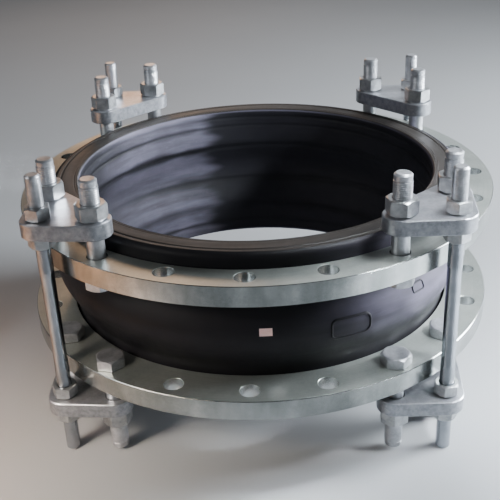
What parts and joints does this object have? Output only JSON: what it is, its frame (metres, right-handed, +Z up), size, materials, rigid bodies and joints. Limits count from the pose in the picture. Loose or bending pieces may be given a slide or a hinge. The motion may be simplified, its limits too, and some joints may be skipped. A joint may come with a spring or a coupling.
{
  "type": "rubber expansion joint",
  "caption": "Single-arch rubber pipe expansion joint with floating drilled steel flanges and corner control units of triangular plates, bolts and tie rods.",
  "frame": {"origin": "on the pipe axis, level with the lower ends of the tie rods that the joint stands on", "axes": "+Z up along the pipe axis, -Y towards the front with its label, +X to the right"},
  "size_m": [0.78, 0.78, 0.464],
  "materials": {
    "zinc_flange": "bright zinc plating over steel, satin, faintly mottled, with turning marks",
    "zinc_plate": "bright zinc plating over steel, satin, faintly mottled, flame-cut edges",
    "zinc_fastener": "bright zinc plating over steel, satin, faintly mottled",
    "rubber_cover": "moulded black rubber, semi-matt with a faint bloom",
    "rubber_liner": "moulded black rubber, wavy, semi-gloss",
    "cord_fabric": "rubber-coated nylon tyre cord plies",
    "bead_wire": "bronze-coated bead wire",
    "label_paper": "blank pale pink sticker"
  },
  "bodies": {
    "bellows": {"outer_cover": "rubber_cover", "cord_carcass": "cord_fabric", "inner_liner": "rubber_liner", "lower_bead_ring": "bead_wire", "front_label": "label_paper"},
    "lower_frame": {"lower_flange": "zinc_flange", "lower_plate_1": "zinc_plate", "lower_plate_2": "zinc_plate", "lower_plate_3": "zinc_plate", "lower_plate_4": "zinc_plate", "lower_bolt_1": "zinc_fastener", "lower_bolt_2": "zinc_fastener", "lower_bolt_3": "zinc_fastener", "lower_bolt_4": "zinc_fastener", "lower_bolt_5": "zinc_fastener", "lower_bolt_6": "zinc_fastener", "lower_bolt_7": "zinc_fastener", "lower_bolt_8": "zinc_fastener", "tie_rod_1": "zinc_fastener", "tie_rod_2": "zinc_fastener", "tie_rod_3": "zinc_fastener", "tie_rod_4": "zinc_fastener", "lower_rod_nut_inner_1": "zinc_fastener", "lower_rod_nut_inner_2": "zinc_fastener", "lower_rod_nut_inner_3": "zinc_fastener", "lower_rod_nut_inner_4": "zinc_fastener", "lower_rod_nut_outer_1": "zinc_fastener", "lower_rod_nut_outer_2": "zinc_fastener", "lower_rod_nut_outer_3": "zinc_fastener", "lower_rod_nut_outer_4": "zinc_fastener"},
    "upper_bead": {"upper_bead_ring": "bead_wire"},
    "upper_frame": {"upper_flange": "zinc_flange", "upper_plate_1": "zinc_plate", "upper_plate_2": "zinc_plate", "upper_plate_3": "zinc_plate", "upper_plate_4": "zinc_plate", "upper_bolt_1": "zinc_fastener", "upper_bolt_2": "zinc_fastener", "upper_bolt_3": "zinc_fastener", "upper_bolt_4": "zinc_fastener", "upper_bolt_5": "zinc_fastener", "upper_bolt_6": "zinc_fastener", "upper_bolt_7": "zinc_fastener", "upper_bolt_8": "zinc_fastener", "upper_bolt_nut_1": "zinc_fastener", "upper_bolt_nut_2": "zinc_fastener", "upper_bolt_nut_3": "zinc_fastener", "upper_bolt_nut_4": "zinc_fastener", "upper_bolt_nut_5": "zinc_fastener", "upper_bolt_nut_6": "zinc_fastener", "upper_bolt_nut_7": "zinc_fastener", "upper_bolt_nut_8": "zinc_fastener"},
    "rod_nuts_1": {"upper_rod_nut_outer_1": "zinc_fastener", "upper_rod_nut_inner_1": "zinc_fastener"},
    "rod_nuts_2": {"upper_rod_nut_outer_2": "zinc_fastener", "upper_rod_nut_inner_2": "zinc_fastener"},
    "rod_nuts_3": {"upper_rod_nut_outer_3": "zinc_fastener", "upper_rod_nut_inner_3": "zinc_fastener"},
    "rod_nuts_4": {"upper_rod_nut_outer_4": "zinc_fastener", "upper_rod_nut_inner_4": "zinc_fastener"}
  },
  "joints": [
    {"name": "axial_travel", "type": "slide", "parent": "bellows", "child": "upper_bead", "axis": [0, 0, 1], "range_m": [-0.025, 0.016], "stiffness_N_per_m": 900000, "deforming": ["outer_cover", "cord_carcass", "inner_liner"]},
    {"name": "flange_swivel", "type": "hinge", "parent": "bellows", "child": "lower_frame", "pos_m": [0, 0, 0.108], "axis": [0, 0, 1], "continuous": true},
    {"name": "upper_flange_swivel", "type": "hinge", "parent": "upper_bead", "child": "upper_frame", "pos_m": [0, 0, 0.356], "axis": [0, 0, 1], "continuous": true},
    {"name": "rod_nuts_1_turn", "type": "hinge", "parent": "upper_frame", "child": "rod_nuts_1", "pos_m": [0.28991, 0.28991, 0.386], "axis": [0, 0, 1], "range_deg": [-3605, 2309]},
    {"name": "rod_nuts_2_turn", "type": "hinge", "parent": "upper_frame", "child": "rod_nuts_2", "pos_m": [-0.28991, 0.28991, 0.386], "axis": [0, 0, 1], "range_deg": [-3605, 2309]},
    {"name": "rod_nuts_3_turn", "type": "hinge", "parent": "upper_frame", "child": "rod_nuts_3", "pos_m": [-0.28991, -0.28991, 0.386], "axis": [0, 0, 1], "range_deg": [-3605, 2309]},
    {"name": "rod_nuts_4_turn", "type": "hinge", "parent": "upper_frame", "child": "rod_nuts_4", "pos_m": [0.28991, -0.28991, 0.386], "axis": [0, 0, 1], "range_deg": [-3605, 2309]}
  ],
  "couplings": [
    {"joint": "upper_flange_swivel", "follows": "flange_swivel", "ratio": 1},
    {"joint": "rod_nuts_1_turn", "follows": "axial_travel", "rad_per_m": 2513.3},
    {"joint": "rod_nuts_2_turn", "follows": "axial_travel", "rad_per_m": 2513.3},
    {"joint": "rod_nuts_3_turn", "follows": "axial_travel", "rad_per_m": 2513.3},
    {"joint": "rod_nuts_4_turn", "follows": "axial_travel", "rad_per_m": 2513.3}
  ]
}
